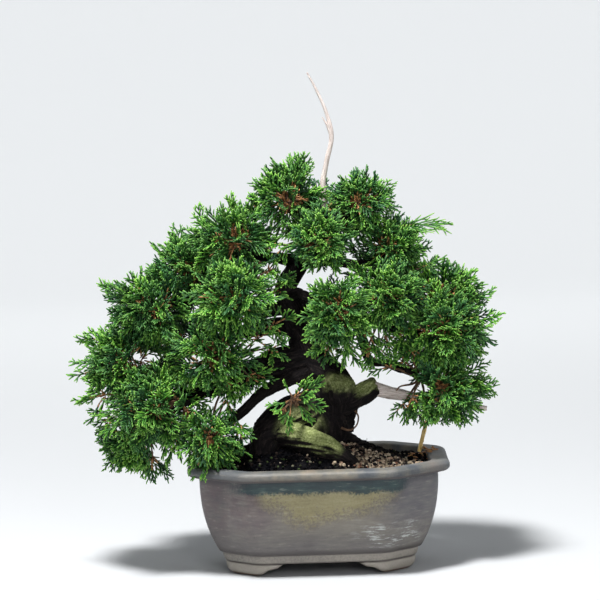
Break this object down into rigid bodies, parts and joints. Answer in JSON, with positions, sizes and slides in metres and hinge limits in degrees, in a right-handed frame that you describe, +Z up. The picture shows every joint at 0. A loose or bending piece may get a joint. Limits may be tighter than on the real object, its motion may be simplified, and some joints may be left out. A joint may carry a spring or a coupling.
{
  "type": "bonsai tree in a pot",
  "caption": "Small juniper bonsai with a leaning trunk, bleached deadwood and clouds of scale foliage, planted in a glazed eight-sided pot with bracket feet.",
  "frame": {"origin": "bottom centre of the whole object's bounding box, on the surface the pot's feet stand on", "axes": "+Z up along the tree, +X to the viewer's right along the pot's length, the pot's front faces -Y"},
  "size_m": [0.2572, 0.1362, 0.3112],
  "materials": {
    "glaze": "satin",
    "mesh_plastic": "matte",
    "wire": "satin",
    "pumice": "matte",
    "soil": "matte",
    "grit": "matte",
    "bark": "matte",
    "deadwood": "matte",
    "splint": "satin",
    "foliage": "matte"
  },
  "bodies": {
    "root": {"branch_back_left": "bark", "branch_back_right": "bark", "branch_crown_back": "bark", "branch_crown_left": "bark", "branch_crown_right": "bark", "branch_front": "bark", "branch_front_low": "bark", "branch_left_high": "bark", "branch_left_low": "bark", "branch_left_mid": "bark", "branch_left_under": "bark", "branch_right_high": "bark", "branch_right_low": "bark", "branch_right_mid": "bark", "deadwood_apex": "deadwood", "deadwood_right": "deadwood", "drain_mesh_left": "mesh_plastic", "drain_mesh_right": "mesh_plastic", "drainage_layer": "pumice", "foliage_apex_left": "foliage", "foliage_apex_right": "foliage", "foliage_back_crown": "foliage", "foliage_back_left_high": "foliage", "foliage_back_left_low": "foliage", "foliage_back_right_high": "foliage", "foliage_back_right_low": "foliage", "foliage_centre_left": "foliage", "foliage_crown_front": "foliage", "foliage_droop_inner": "foliage", "foliage_droop_outer": "foliage", "foliage_front_centre": "foliage", "foliage_front_low": "foliage", "foliage_left_front": "foliage", "foliage_left_inner": "foliage", "foliage_left_outer": "foliage", "foliage_left_shoulder": "foliage", "foliage_left_tier": "foliage", "foliage_right_centre": "foliage", "foliage_right_low": "foliage", "foliage_right_mid": "foliage", "foliage_right_shoulder": "foliage", "foliage_right_upper": "foliage", "foliage_upper_left": "foliage", "grit_dressing": "grit", "mesh_wire_left": "wire", "mesh_wire_right": "wire", "pot": "glaze", "soil_bed": "soil", "stake": "splint", "trunk": "bark"}
  },
  "joints": []
}
